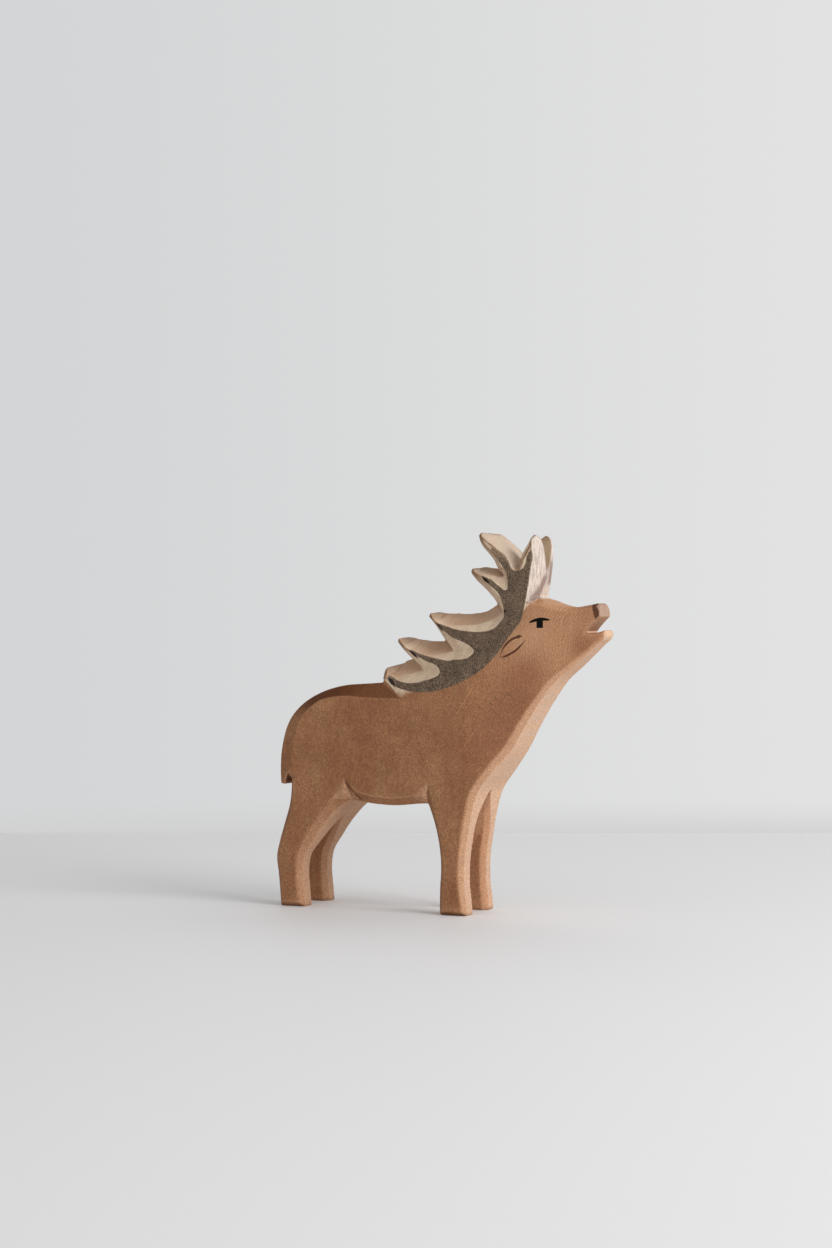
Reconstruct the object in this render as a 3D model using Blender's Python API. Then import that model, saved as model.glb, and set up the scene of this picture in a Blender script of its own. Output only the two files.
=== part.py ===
"""Toy stag, sawn from one board and carved with a knife, in metres, +Z up, facing +X.

The side profile is drawn on a grid of 149.5 squares to the height. Every edge of the board
carries a flat knife bevel. Two arched slots part the legs, and a V groove parts the tip of
the foremost antler point into a left and a right one.
"""

import math

import bmesh
import bpy
from mathutils import Vector
from mathutils.geometry import delaunay_2d_cdt, intersect_line_line_2d

HEIGHT = 0.1495
SQUARE = HEIGHT / 149.5
MIDDLE = 13.1 * SQUARE
STEP = 2.3 * SQUARE

BODY_HALF = 0.0150
ANTLER_HALF = 0.0105
NECK_SLOPE = 0.205
SNOUT_SLOPE = 0.19
SNOUT_START = 54 * SQUARE
BLEND = 0.0016
SKIN_GRID = 0.0043

SLOT_HALVES = (0.0056, 0.0063)
SLOT_BEVELS = (0.0010, 0.0021)
SLOT_REACH = 0.0030
ARCH_FLARE = 0.0010
FRONT_ARCH_TOP = 0.0490
FRONT_ARCH_BACK_TOP = 0.0385
FRONT_ARCH_RISE = 0.0162
HIND_ARCH_TOP = 0.0365
HIND_ARCH_BACK_TOP = 0.0345
HIND_ARCH_RISE = 0.0165
ARCH_STEPS = 9
WALL_STEPS = 7

WOOD = (0.36, 0.19, 0.10, 1.0)
WOOD_ROUGHNESS = 0.62

# Each point of the outline: x and z in squares, bevel width in the plane, height of the
# roof-like ridge on the floor between two antler points, and 1 where the line turns a corner.
# A run starts with how far its bevel drops across the board, in squares.
HIND_LEG_BACK = (2.1, (
    (-54.3, 0.0, 1.8, 0, 1),
    (-54.6, 4.0, 2.0, 0, 0),
    (-55.4, 12.5, 2.2, 0, 0),
    (-56.2, 20.6, 2.2, 0, 0),
    (-55.1, 25.4, 2.2, 0, 0),
    (-52.8, 33.0, 2.2, 0, 0),
    (-50.1, 42.3, 2.2, 0, 0),
    (-49.5, 51.6, 1.8, 0, 1),
))
TAIL = (2.6, (
    (-51.3, 53.0, 1.6, 0, 0),
    (-52.6, 49.0, 1.6, 0, 1),
    (-54.6, 49.3, 2.4, 0, 1),
    (-54.9, 56.6, 6.0, 0, 0),
    (-53.8, 66.2, 6.4, 0, 0),
))
BACK = (3.0, (
    (-50.5, 75.6, 5.5, 0, 0),
    (-45.0, 81.5, 4.2, 0, 0),
    (-36.6, 86.3, 3.2, 0, 0),
    (-26.0, 89.3, 4.4, 0, 0),
    (-16.0, 90.1, 5.7, 0, 0),
    (-8.6, 90.6, 6.4, 0, 1),
))
FIRST_POINT = (2.0, (
    (-9.0, 92.6, 1.4, 0, 0),
    (-9.6, 94.9, 1.9, 0, 1),
    (-9.0, 96.4, 1.6, 0.3, 1),
    (-6.8, 93.9, 0.7, 4.7, 1),
    (-2.5, 93.6, 2.1, 6.0, 0),
    (3.2, 94.4, 4.0, 6.4, 0),
    (8.2, 95.4, 4.4, 2.5, 1),
))
SECOND_POINT = (2.0, (
    (2.3, 100.3, 2.6, 4.2, 0),
    (-1.0, 103.2, 1.6, 1.2, 0),
    (-4.2, 107.0, 1.0, 0, 1),
    (-3.6, 108.2, 0.5, 0.3, 1),
    (-0.9, 105.5, 0.5, 3.0, 0),
    (3.0, 103.6, 0.5, 4.2, 0),
    (9.0, 102.2, 1.2, 4.9, 0),
    (15.0, 102.3, 2.6, 5.0, 0),
    (20.8, 103.1, 4.4, 5.0, 1),
))
THIRD_POINT = (2.0, (
    (16.3, 108.3, 3.2, 4.0, 0),
    (13.2, 112.6, 1.4, 1.0, 0),
    (9.6, 116.8, 0.9, 0, 1),
    (10.2, 118.1, 0.5, 0.3, 1),
    (13.6, 115.3, 0.6, 3.2, 0),
    (18.0, 113.8, 1.2, 4.4, 0),
    (25.3, 113.3, 2.5, 4.7, 0),
    (32.0, 114.0, 3.6, 5.0, 0),
    (37.5, 115.8, 3.8, 6.0, 0),
    (41.6, 118.3, 2.0, 5.6, 1),
))
FOURTH_POINT = (1.6, (
    (38.9, 122.6, 2.2, 4.0, 0),
    (34.6, 127.2, 2.2, 1.0, 0),
    (29.3, 132.2, 1.5, 0, 0),
    (28.0, 134.2, 1.2, 0, 0),
    (28.6, 135.6, 0.8, 0.3, 0),
    (31.5, 134.4, 1.1, 1.8, 0),
    (37.5, 132.9, 2.2, 2.6, 0),
    (41.4, 132.1, 4.2, 2.8, 0),
    (43.6, 131.7, 3.0, 2.4, 1),
))
FIFTH_POINT = (1.6, (
    (40.2, 134.3, 1.6, 1.6, 0),
    (37.7, 138.8, 1.6, 0.6, 0),
    (31.8, 146.3, 1.2, 0, 0),
    (31.3, 148.4, 1.2, 0, 0),
    (32.3, 149.5, 1.3, 0, 0),
))
FIFTH_POINT_TOP = (4.8, (
    (34.4, 149.3, 2.0, 0, 0),
    (37.2, 147.6, 2.4, 0, 0),
    (40.6, 144.9, 2.2, 0, 0),
    (44.3, 141.3, 2.0, 0, 0),
    (47.2, 136.9, 2.2, 0, 1),
))
SIXTH_POINT = (4.6, (
    (48.5, 141.2, 2.8, 0, 0),
    (50.8, 145.0, 2.6, 0, 0),
    (53.5, 148.6, 1.6, 0, 0),
    (54.9, 148.3, 1.6, 0, 0),
    (56.5, 145.2, 2.2, 0, 0),
    (56.9, 140.5, 3.0, 0, 0),
    (56.7, 135.5, 3.0, 0, 0),
    (55.8, 129.5, 3.0, 0, 0),
    (54.5, 124.2, 2.6, 0, 1),
))
FOREHEAD = (1.6, (
    (58.4, 122.7, 2.0, 0, 0),
    (64.0, 120.9, 1.8, 0, 0),
    (70.0, 120.2, 1.6, 0, 0),
    (75.4, 121.0, 1.4, 0, 0),
    (79.2, 121.8, 1.0, 0, 1),
))
MUZZLE = (1.0, (
    (80.6, 119.6, 0.8, 0, 0),
    (80.8, 116.6, 0.8, 0, 1),
    (78.0, 114.0, 0.7, 0, 0),
    (74.7, 110.3, 0.6, 0, 1),
    (78.4, 110.4, 0.6, 0, 0),
    (82.0, 111.5, 0.6, 0, 1),
    (82.4, 109.0, 0.8, 0, 0),
    (79.6, 106.4, 1.0, 0, 0),
))
THROAT = (1.6, (
    (75.3, 102.4, 1.2, 0, 0),
    (69.7, 97.5, 1.6, 0, 0),
    (63.5, 92.4, 1.9, 0, 0),
    (57.0, 84.2, 2.2, 0, 0),
))
CHEST = (2.1, (
    (51.2, 75.0, 2.6, 0, 0),
    (45.4, 65.0, 2.8, 0, 0),
    (38.1, 55.8, 2.6, 0, 0),
    (32.6, 48.3, 2.4, 0, 0),
    (30.2, 40.8, 2.3, 0, 0),
    (28.5, 31.5, 2.2, 0, 0),
    (27.1, 21.8, 2.1, 0, 0),
    (26.9, 12.2, 2.0, 0, 0),
    (28.0, 1.9, 1.8, 0, 0),
    (28.0, 0.0, 1.8, 0, 1),
))
FRONT_LEG_BACK = (2.1, (
    (16.4, 0.0, 1.6, 0, 1),
    (16.4, 8.5, 1.8, 0, 0),
    (16.9, 19.5, 1.8, 0, 0),
    (15.4, 31.1, 1.9, 0, 0),
    (13.2, 38.7, 2.2, 0, 0),
    (11.4, 43.3, 3.2, 0, 1),
))
BELLY = (2.4, (
    (8.9, 43.2, 3.4, 0, 0),
    (-3.0, 42.1, 3.1, 0, 0),
    (-12.0, 42.4, 3.2, 0, 0),
    (-21.6, 43.8, 4.0, 0, 1),
))
HIND_LEG_FRONT = (2.1, (
    (-27.0, 41.1, 4.2, 0, 0),
    (-34.3, 34.0, 3.5, 0, 0),
    (-39.8, 26.3, 3.6, 0, 0),
    (-43.3, 20.8, 2.7, 0, 0),
    (-44.4, 14.6, 2.1, 0, 0),
    (-43.8, 6.3, 2.0, 0, 0),
    (-43.2, 0.0, 1.8, 0, 1),
))
OUTLINE = (
    HIND_LEG_BACK, TAIL, BACK, FIRST_POINT, SECOND_POINT, THIRD_POINT, FOURTH_POINT,
    FIFTH_POINT, FIFTH_POINT_TOP, SIXTH_POINT, FOREHEAD, MUZZLE, THROAT, CHEST,
    FRONT_LEG_BACK, BELLY, HIND_LEG_FRONT,
)

# Corners of the outline where a crease runs on into the side: the corner, the far end of the
# crease, and how many points round that end off.
CREASES = (
    ((-8.6, 90.6), (0.6, 84.2), 1),
    ((8.2, 95.4), (16.6, 95.5), 7),
    ((20.8, 103.1), (30.9, 103.0), 7),
    ((41.6, 118.3), (42.8, 116.5), 3),
    ((43.6, 131.7), (44.3, 127.2), 5),
    ((47.2, 136.9), (47.6, 134.0), 5),
    ((11.4, 43.3), (12.3, 51.9), 1),
    ((-21.6, 43.8), (-24.4, 52.5), 1),
)

# The V groove through the foremost point: its floor line, its mouth, half the mouth's width.
GROOVE = (
    ((44.5, 142.0), (44.5, 153.0), 6.2),
    ((48.0, 137.4), (48.0, 153.0), 7.6),
    ((61.0, 129.5), (61.0, 153.0), 8.1),
)


def clear_scene():
    for obj in list(bpy.data.objects):
        bpy.data.objects.remove(obj, do_unlink=True)


def smooth_step(value):
    value = min(1.0, max(0.0, value))
    return value * value * (3 - 2 * value)


def softer_min(a, b):
    share = min(1.0, max(0.0, 0.5 + 0.5 * (b - a) / BLEND))
    return b + (a - b) * share - BLEND * share * (1 - share)


def along(x, z, start, end):
    """Distance of (x, z) to the left of the line from start to end, all in metres."""
    dx = (end[0] - start[0]) * SQUARE
    dz = (end[1] - start[1]) * SQUARE
    px = x - start[0] * SQUARE
    pz = z - start[1] * SQUARE
    return (dx * pz - dz * px) / math.hypot(dx, dz)


def half_thickness(x, z):
    """Half of the board at a place on its side: full at the body, thinner up and forward."""
    above = min(along(x, z, (0, 83), (35, 95)), 4 * along(x, z, (-9, 91), (1, 84)))
    antler = BODY_HALF - (BODY_HALF - ANTLER_HALF) * smooth_step(above / (15 * SQUARE))
    ahead = -along(x, z, (24.6, 57), (33.5, 93))
    above_leg = smooth_step((z / SQUARE - 46) / 22)
    neck = BODY_HALF + BLEND * (1 - above_leg) - NECK_SLOPE * ahead * above_leg
    snout = ANTLER_HALF - SNOUT_SLOPE * (x - SNOUT_START)
    if z < 70 * SQUARE:
        snout = BODY_HALF + BLEND
    snout = min(snout, BODY_HALF + BLEND)
    return softer_min(softer_min(antler, neck), snout)


def controls():
    """The outline's points with their bevels, in metres: (x, z, bevel, drop, ridge, corner)."""
    found = []
    for drop, points in OUTLINE:
        for x, z, bevel, ridge, corner in points:
            found.append((x * SQUARE, z * SQUARE, bevel * SQUARE, drop * SQUARE,
                          ridge * SQUARE, corner))
    return found


def tangent(points, i):
    """Direction of the curve at a smooth point, weighted toward its nearer neighbour."""
    before = Vector(points[i][:2]) - Vector(points[i - 1][:2])
    after = Vector(points[(i + 1) % len(points)][:2]) - Vector(points[i][:2])
    return (before / before.length * after.length + after / after.length * before.length) / (
        before.length + after.length)


def sampled_outline():
    """The outline walked in short steps, a cubic curve between the control points."""
    points = controls()
    samples = []
    for i, start in enumerate(points):
        end = points[(i + 1) % len(points)]
        chord = Vector(end[:2]) - Vector(start[:2])
        leave = chord.normalized() if start[5] else tangent(points, i)
        arrive = chord.normalized() if end[5] else tangent(points, (i + 1) % len(points))
        if start[5] and not end[5]:
            leave = (2 * chord.normalized() - arrive).normalized()
        if end[5] and not start[5]:
            arrive = (2 * chord.normalized() - leave).normalized()
        straight = start[5] and end[5]
        count = 1 if straight and chord.length < 3 * STEP else math.ceil(chord.length / STEP)
        for k in range(count):
            t = k / count
            h1 = 2 * t ** 3 - 3 * t ** 2 + 1
            h2 = t ** 3 - 2 * t ** 2 + t
            h3 = -2 * t ** 3 + 3 * t ** 2
            h4 = t ** 3 - t ** 2
            place = (h1 * Vector(start[:2]) + h2 * chord.length * leave
                     + h3 * Vector(end[:2]) + h4 * chord.length * arrive)
            rest = [a + (b - a) * t for a, b in zip(start[2:5], end[2:5])]
            samples.append((place, *rest))
    return samples


def offset_ring(samples, widths):
    """The outline moved into the wood by each sample's width, its small loops taken out."""
    count = len(samples)
    moved = []
    for i, width in enumerate(widths):
        here = samples[i][0]
        before = (here - samples[i - 1][0]).normalized()
        after = (samples[(i + 1) % count][0] - here).normalized()
        inward = Vector((before.y + after.y, -before.x - after.x)).normalized()
        lean = max(0.42, inward.dot(Vector((after.y, -after.x))))
        moved.append(here + inward * width / lean)
    return without_loops(moved)


def without_loops(ring):
    """Replaces each small loop by the one point where the line crosses itself."""
    count = len(ring)
    reach = count // 8
    i = 0
    while i < count:
        for span in range(reach, 1, -1):
            a, b = ring[i], ring[(i + 1) % count]
            c, d = ring[(i + span) % count], ring[(i + span + 1) % count]
            if (a - b).length < 1e-7 or (c - d).length < 1e-7:
                continue
            crossing = intersect_line_line_2d(a, b, c, d)
            if crossing is None:
                continue
            if (crossing - a).length < 1e-7 or (crossing - d).length < 1e-7:
                continue
            for k in range(i + 1, i + span + 1):
                ring[k % count] = crossing.copy()
            i += span
            break
        i += 1
    return ring


def with_creases(samples, inner, ridge):
    """Draws the line of the flat side out to the end of each crease, sharp or rounded."""
    places = [s[0] for s in samples]
    drops = [s[2] for s in samples]
    heights = [s[3] for s in samples]
    for corner, end, count in CREASES:
        corner = Vector(corner) * SQUARE
        end = Vector(end) * SQUARE
        i = min(range(len(places)), key=lambda k: (places[k] - corner).length)
        before = inner[i - 1]
        after = inner[(i + 1) % len(inner)]
        pull = 2 * end - (before + after) / 2
        fan = []
        for k in range(count):
            t = (k + 1) / (count + 1)
            curve = (1 - t) ** 2 * before + 2 * t * (1 - t) * pull + t ** 2 * after
            fan.append(curve if count > 1 else end)
        inner[i:i + 1] = fan
        for row in (places, drops, heights, ridge):
            row[i:i + 1] = [row[i]] * count
    return places, drops, heights, inner, ridge


def build_board():
    """The board with its bevels and ridges, before the slots and the groove are cut."""
    samples = sampled_outline()
    inner = offset_ring(samples, [s[1] for s in samples])
    ridge = offset_ring(samples, [-s[3] for s in samples])
    places, drops, heights, inner, ridge = with_creases(samples, inner, ridge)
    count = len(places)
    mesh = bmesh.new()

    def same(line, i):
        return i > 0 and (line[i] - line[i - 1]).length < 1e-7

    rows = {}
    for side in (1, -1):
        edge = []
        flat = []
        for i, place in enumerate(places):
            half = half_thickness(place.x, place.y) - drops[i]
            corner = (place.x, side * half, place.y)
            edge.append(edge[-1] if same(places, i) else mesh.verts.new(corner))
            x, z = inner[i]
            corner = (x, side * half_thickness(x, z), z)
            flat.append(flat[-1] if same(inner, i) else mesh.verts.new(corner))
        rows[side] = (edge, flat)
    middle = []
    for i, point in enumerate(ridge):
        if heights[i] < 1e-6:
            middle.append(None)
        elif i and middle[-1] and same(ridge, i):
            middle.append(middle[-1])
        else:
            middle.append(mesh.verts.new((point.x, 0, point.y)))

    def face(*corners):
        kept = [c for k, c in enumerate(corners) if c is not None and c is not corners[k - 1]]
        if len(set(kept)) > 2:
            mesh.faces.new(kept)

    for i in range(count):
        j = (i + 1) % count
        for side, (edge, flat) in rows.items():
            quad = (edge[i], edge[j], flat[j], flat[i])
            face(*(quad if side < 0 else quad[::-1]))
        near, far = rows[-1][0], rows[1][0]
        if middle[i] is None and middle[j] is None:
            face(near[j], near[i], far[i], far[j])
            continue
        if middle[i] is None:
            face(near[j], near[i], middle[j])
            face(near[i], far[i], middle[j])
            face(far[i], far[j], middle[j])
        elif middle[j] is None:
            face(near[j], near[i], middle[i])
            face(near[j], middle[i], far[j])
            face(middle[i], far[i], far[j])
        else:
            face(near[j], near[i], middle[i], middle[j])
            face(middle[j], middle[i], far[i], far[j])

    for side, (_, flat) in rows.items():
        add_side_skin(mesh, flat, side)
    bmesh.ops.recalc_face_normals(mesh, faces=mesh.faces[:])
    bmesh.ops.triangulate(mesh, faces=mesh.faces[:])
    return mesh


def add_side_skin(mesh, flat, side):
    """Fills the flat side, with a grid of points where the board grows thinner."""
    ring = []
    for vert in flat:
        if not ring or vert is not ring[-1]:
            ring.append(vert)
    if ring[0] is ring[-1]:
        ring.pop()
    points = [Vector((v.co.x, v.co.z)) for v in ring]
    edges = [(i, (i + 1) % len(ring)) for i in range(len(ring))]
    grid = []
    left = min(p.x for p in points)
    right = max(p.x for p in points)
    top = max(p.y for p in points)
    rows = int((top - 48 * SQUARE) / SKIN_GRID)
    columns = int((right - left) / SKIN_GRID)
    for r in range(rows + 1):
        for c in range(columns + 1):
            x = left + (c + 0.5 * (r % 2)) * SKIN_GRID
            z = 48 * SQUARE + r * SKIN_GRID
            thinner = half_thickness(x, z) < BODY_HALF - 0.0002
            if thinner and min((Vector((x, z)) - p).length for p in points) > SKIN_GRID * 0.45:
                grid.append(Vector((x, z)))
    found = delaunay_2d_cdt(points + grid, edges, [list(range(len(ring)))], 1, 1e-9)
    places, _, faces, origins = found[0], found[1], found[2], found[3]
    verts = []
    for place, origin in zip(places, origins):
        if origin and origin[0] < len(ring):
            verts.append(ring[origin[0]])
        else:
            y = side * half_thickness(place.x, place.y)
            verts.append(mesh.verts.new((place.x, y, place.y)))
    for corners in faces:
        mesh.faces.new([verts[c] for c in corners])


def edge_at(run, z):
    """Where a leg's outline stands at height z, read along one run of control points."""
    points = sorted((p[1] * SQUARE, p[0] * SQUARE) for p in run[1])
    if z <= points[0][0]:
        return points[0][1]
    for (z0, x0), (z1, x1) in zip(points, points[1:]):
        if z <= z1:
            return x0 + (x1 - x0) * (z - z0) / (z1 - z0)
    (z0, x0), (z1, x1) = points[-2:]
    return x1 + (x1 - x0) * (z - z1) / (z1 - z0)


def arch(halves, top, rise):
    """A pointed arch across the board from below the floor: (y, z) points, foot to foot."""
    spring = top - rise
    climb = []
    for k in range(WALL_STEPS):
        climb.append((1.0, -0.004 + (spring + 0.004) * k / WALL_STEPS))
    for k in range(ARCH_STEPS):
        t = k / ARCH_STEPS
        climb.append((1 - t ** 1.4, spring + rise * t))
    right = [(-halves[0] * share, z) for share, z in climb]
    left = [(halves[1] * share, z) for share, z in climb]
    return right + [(0.0, top)] + left[::-1]


def loft(name, sections, folder):
    """A closed solid through rows of points that all have the same count."""
    mesh = bmesh.new()
    rows = [[mesh.verts.new(p) for p in section] for section in sections]
    size = len(rows[0])
    for a, b in zip(rows, rows[1:]):
        for k in range(size):
            mesh.faces.new((a[k], a[(k + 1) % size], b[(k + 1) % size], b[k]))
    mesh.faces.new(rows[0][::-1])
    mesh.faces.new(rows[-1])
    bmesh.ops.triangulate(mesh, faces=mesh.faces[:])
    bmesh.ops.recalc_face_normals(mesh, faces=mesh.faces[:])
    return add_object(name, mesh, folder)


def add_object(name, mesh, folder):
    data = bpy.data.meshes.new(name)
    mesh.to_mesh(data)
    mesh.free()
    obj = bpy.data.objects.new(name, data)
    folder.objects.link(obj)
    return obj


def leg_slot(name, front, back, tops, rise, folder):
    """A slot through a pair of legs, flared at both mouths to bevel the legs' inner edges."""
    wide = [half + bevel + SLOT_REACH for half, bevel in zip(SLOT_HALVES, SLOT_BEVELS)]
    depth = max(SLOT_BEVELS)
    stations = (
        (front, SLOT_REACH, wide, tops[0] + ARCH_FLARE),
        (front, -depth, SLOT_HALVES, tops[0] - ARCH_FLARE),
        (back, depth, SLOT_HALVES, tops[1] - ARCH_FLARE),
        (back, -SLOT_REACH, wide, tops[1] + ARCH_FLARE),
    )
    sections = []
    for run, shift, halves, top in stations:
        points = arch(halves, top, rise)
        sections.append([(edge_at(run, z) + shift, y, z) for y, z in points])
    return loft(name, sections, folder)


def antler_groove(folder):
    sections = []
    for floor, mouth, half in GROOVE:
        floor = (floor[0] * SQUARE, 0.0, floor[1] * SQUARE)
        left = (mouth[0] * SQUARE, half * SQUARE, mouth[1] * SQUARE)
        right = (left[0], -left[1], left[2])
        sections.append((floor, left, right))
    return loft("antler_groove", sections, folder)


def wood():
    material = bpy.data.materials.new("stained_wood")
    material.use_nodes = True
    shader = material.node_tree.nodes["Principled BSDF"]
    shader.inputs["Base Color"].default_value = WOOD
    shader.inputs["Roughness"].default_value = WOOD_ROUGHNESS
    shader.inputs["Metallic"].default_value = 0.0
    return material


def main():
    clear_scene()
    figure = bpy.data.collections.new("wooden_stag")
    cutters = bpy.data.collections.new("cutters")
    for folder in (figure, cutters):
        bpy.context.scene.collection.children.link(folder)
    stag = add_object("stag", build_board(), figure)
    stag.data.materials.append(wood())
    tools = (
        leg_slot("front_leg_slot", CHEST, FRONT_LEG_BACK,
                 (FRONT_ARCH_TOP, FRONT_ARCH_BACK_TOP), FRONT_ARCH_RISE, cutters),
        leg_slot("hind_leg_slot", HIND_LEG_FRONT, HIND_LEG_BACK,
                 (HIND_ARCH_TOP, HIND_ARCH_BACK_TOP), HIND_ARCH_RISE, cutters),
        antler_groove(cutters),
    )
    stag.location.x = -MIDDLE
    for tool in tools:
        tool.location.x = -MIDDLE
        tool.hide_render = True
        tool.display_type = "WIRE"
        cut = stag.modifiers.new(tool.name, "BOOLEAN")
        cut.operation = "DIFFERENCE"
        cut.solver = "EXACT"
        cut.object = tool


main()
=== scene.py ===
"""Looks of the toy stag: sanded, hand-stained wood around the sawn and carved solid."""

import math

import bmesh
import bpy
import numpy as np
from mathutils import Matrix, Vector
from mathutils.bvhtree import BVHTree


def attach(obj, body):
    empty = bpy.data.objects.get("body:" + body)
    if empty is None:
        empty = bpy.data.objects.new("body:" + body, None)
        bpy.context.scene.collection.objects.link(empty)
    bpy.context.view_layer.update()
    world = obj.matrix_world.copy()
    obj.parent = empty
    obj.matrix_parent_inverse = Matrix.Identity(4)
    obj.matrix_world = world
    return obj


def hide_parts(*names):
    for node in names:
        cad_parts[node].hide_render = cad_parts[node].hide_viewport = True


# Camera: level, turned toward the figure's front right. Metres, with lens and film in
# millimetres.
CAMERA_TURN = math.radians(25.3)
CAMERA_AWAY = 0.901
CAMERA_HEIGHT = 0.1138
CAMERA_AIM_X = -0.0131
LENS = 65.0
FILM_WIDTH = 36.0

# Table: how far its far edge is behind the figure, and how far it reaches toward the camera
# and to each side.
TABLE_EDGE = 0.326
TABLE_REACH = 3.0
TABLE_ROUGHNESS = 0.6

# Lights: a place is to the right of, toward the camera from, and above the place on the table
# that the camera aims at, in metres. WINDOW_AIM is a place in the frame.
ROOM_LIGHT = 0.48
ROOM_TINT = (1.0, 0.99, 0.975, 1.0)
WINDOW_LIGHT = 14.0
WINDOW_PLACE = (1.0, 0.75, 0.55)
WINDOW_SIZE = (0.8, 0.8)
WINDOW_AIM = (0, 0, 0.06)
WINDOW_TINT = (1.0, 0.99, 0.98)
CEILING_LIGHT = 2.7
CEILING_PLACE = (0.4, -0.6, 1.0)
CEILING_SIZE = (1.8, 0.8)
CEILING_TINT = (0.97, 0.99, 1.0)

# Wall: painted light and shade on the backdrop, lighter toward the window on the right and
# darker at its foot. These are the stretches of the view direction, to the right and up, over
# which its tone changes.
WALL_ACROSS = (-0.2, 0.25)
WALL_DOWN = (-0.075, -0.097)

# Mesh: voxel size in metres, rounding passes and the most triangles kept. The flat sides are
# evened from SKIN_DELAY times SKIN_FADE inside their edge, fully one SKIN_FADE further in.
# SKIN_FADE is in millimetres.
VOXEL = 0.00036
ROUNDING = 2
SKIN_ROUNDING = 40
SKIN_FADE = 1.5
SKIN_DELAY = 0.4
BEND_ROUNDING = 4
MAX_TRIANGLES = 186000

# From here on lengths are in millimetres, and places lie in the profile plane: x toward the
# muzzle, z up from the soles.

# Board thickness, as the solid has it. Only these places are PROFILE_SHIFT further along x, as
# the solid's source has them. The board thins above ANTLER_FOOT and ahead of NECK_LINE. At
# SNOUT_FROM the snout is as thin as the antlers, and it thins further ahead of there. The three
# are blended over BLEND. Below LEG_TOP the neck, and below SNOUT_BOTTOM the snout, stay that
# much thicker than the body, so that they don't count.
PROFILE_SHIFT = 13.1
BODY_HALF = 15.0
ANTLER_HALF = 10.5
ANTLER_FOOT = ((0, 83), (35, 95))
ANTLER_FOOT_BACK = ((-9, 91), (1, 84))
ANTLER_FOOT_BACK_STEEPNESS = 4
ANTLER_THINNING = 15
NECK_LINE = ((24.6, 57), (33.5, 93))
NECK_TAPER = 0.205
LEG_TOP = 46
LEG_TO_NECK = 22
SNOUT_FROM = 54
SNOUT_TAPER = 0.19
SNOUT_BOTTOM = 70
BLEND = 1.6

# How near to the side a corner of the solid has to be, to count as part of it.
ON_SIDE = 0.02

# Finish of the wood. BUMP_DISTANCE is in metres, and EAR_DEPTH is a share of it.
SPECULAR = 0.22
BUMP_STRENGTH = 0.25
BUMP_DISTANCE = 0.0002
EAR_DEPTH = 1.2

# Noises in the wood: scale per millimetre, detail, roughness and stretch along x, y and z.
EDGE_NOISE = (0.9, 2.0)
SPECK_NOISE = (2.3, 3.0, 0.65, (1.0, 1.0, 0.7))
FINE_NOISE = (4.2, 2.0, 0.6, (1.0, 1.0, 0.6))
CLOUD_NOISE = (0.05, 3.0, 0.55)
PATCH_NOISE = (0.3, 3.0, 0.65, (1.0, 1.0, 0.5))
STREAK_NOISE = (0.8, 2.0, 0.6, (1.0, 1.0, 0.10))
THIN_GRAIN_NOISE = (2.2, 2.0, 0.6, (1.0, 1.0, 0.06))
RING_NOISE = (0.06, 3.0)

# Colours as 0-255 screen values. Brown stain, with painted light and shade laid on it:
STAIN_LIGHT = (167, 119, 84)
STAIN_DARK = (153, 104, 71)
STAIN_YELLOW = (170, 132, 90)
STAIN_BLOTCH = (134, 86, 58)
HEAD_STAIN = (186, 139, 104)
NECK_STAIN = (148, 100, 71)
MUZZLE_STAIN = (166, 117, 85)
HEAD_SPOT_SHADE = (144, 92, 62)
CHEEK_LIGHT = (194, 150, 116)
BACK_FACET_STAIN_AND_SHADE = (100, 56, 28)
BACK_CORNER_SHADE = (84, 40, 16)
BEVEL_STAIN_AND_LIGHT = (195, 153, 121)
FRONT_STAIN_AND_LIGHT = (200, 168, 145)
SLOT_SHADE = (182, 132, 98)
WORN_STAIN = (206, 160, 122)
LEAF_LIGHT = (190, 146, 114)
LEAF_RIM_SHADE = (106, 66, 42)
SOLE_DARK = (96, 58, 36)
CREASE_SHADE = (86, 48, 28)

# Bare antler wood, with painted shade on it:
BARE_LIGHT = (228, 205, 178)
BARE_DARK = (216, 189, 162)
BARE_ROOF_SHADE = (192, 148, 115)
BARE_TIP = (158, 122, 94)
BARE_TOP = (195, 175, 157)
BARE_CREASE_SHADE = (150, 112, 82)
BARE_WORN = (134, 98, 70)
BARE_UNDER_SHADE = (160, 126, 98)
BARE_FRONT = (214, 202, 192)
BARE_GRAIN = (142, 122, 114)
GROOVE_WALL_SHADE = (158, 134, 106)

# Grey panel, nose and mouth, drawn marks, painted shade in knife cuts, and surroundings:
GREY_LIGHT = (122, 103, 85)
GREY_DARK = (102, 85, 70)
GREY_WARM = (158, 132, 108)
NOSE_SIDE = (94, 58, 39)
NOSE_FRONT = (168, 138, 119)
NOSE_UNDER = (158, 120, 92)
JAW_TIP = (214, 186, 160)
EYE_INK = (5, 4, 4)
EAR_INK = (70, 32, 17)
KNIFE_CUT_SHADE = (32, 22, 17)
TABLE_WHITE = (235, 236, 238)
# Wall: painted light, lighter toward the window on the right, with painted shade at its foot.
WALL_LEFT_SHADED = (212, 213, 214)
WALL_RIGHT_LIT = (227, 227, 227)
WALL_FOOT_SHADE = (208, 208, 208)

# Outlines of the paint. Between STAIN_EDGE and the antler tips the wood is unstained or grey,
# and AROUND_ANTLERS closes that outline outside the tips.
STAIN_EDGE = (
    (-22.4, 92.0), (-20.2, 90.9), (-16.6, 87.9), (-13.0, 85.0), (-10.5, 85.9), (-7.8, 86.7),
    (-3.7, 87.5), (2.3, 87.8), (9.9, 90.2), (16.5, 93.2), (21.9, 96.7), (27.3, 102.3),
    (31.6, 108.7), (35.6, 113.9), (36.6, 117.7), (38.7, 120.1), (41.7, 123.0), (44.6, 124.2),
)
AROUND_ANTLERS = ((60, 128), (60, 170), (-60, 170), (-60, 95), (-24, 92.6))

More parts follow.
